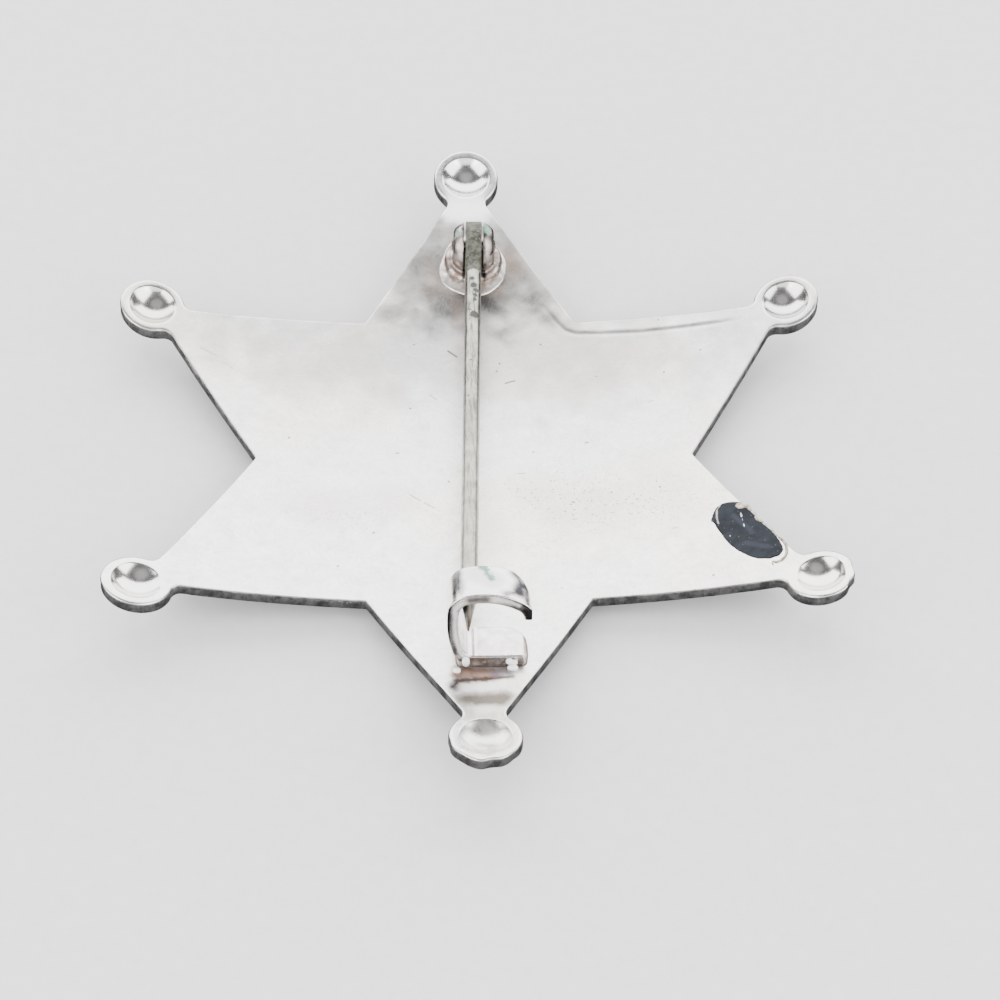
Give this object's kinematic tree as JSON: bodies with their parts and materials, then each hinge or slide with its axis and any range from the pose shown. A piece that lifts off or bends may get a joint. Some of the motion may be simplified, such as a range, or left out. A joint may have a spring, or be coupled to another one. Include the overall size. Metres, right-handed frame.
{
  "type": "star badge",
  "caption": "Dished metal star badge with a ball at each point, lying on its front, with a hinged brooch pin and an open hook catch soldered to its back.",
  "frame": {"origin": "on the surface that the badge lies on, below the middle of the star", "axes": "+Y from the catch to the pin's hinge along the point-to-point length, +Z out of the back, which is up as the badge lies on its front, +X to the right seen from the catch end"},
  "size_m": [0.0578, 0.066, 0.0098],
  "materials": {
    "star_metal": "hazed satin nickel silver with fine scratches, pits and tarnish",
    "fitting_metal": "polished nickel silver, tarnished in the corners with a little verdigris",
    "rivet_metal": "dark tarnished peened rivet",
    "pin_steel": "dull nickel-plated wire, mottled with dark stains near the joint"
  },
  "bodies": {
    "badge": {"star_plate": "star_metal", "pin_joint": "fitting_metal", "joint_rivet": "rivet_metal", "catch_hook": "fitting_metal"},
    "pin": {"pin_stem": "pin_steel"}
  },
  "joints": [
    {"name": "pin_hinge", "type": "hinge", "parent": "badge", "child": "pin", "pos_m": [0.0004, 0.02113, 0.00541], "axis": [-0.9994, 0.0346, 0], "range_deg": [0, 105]}
  ]
}
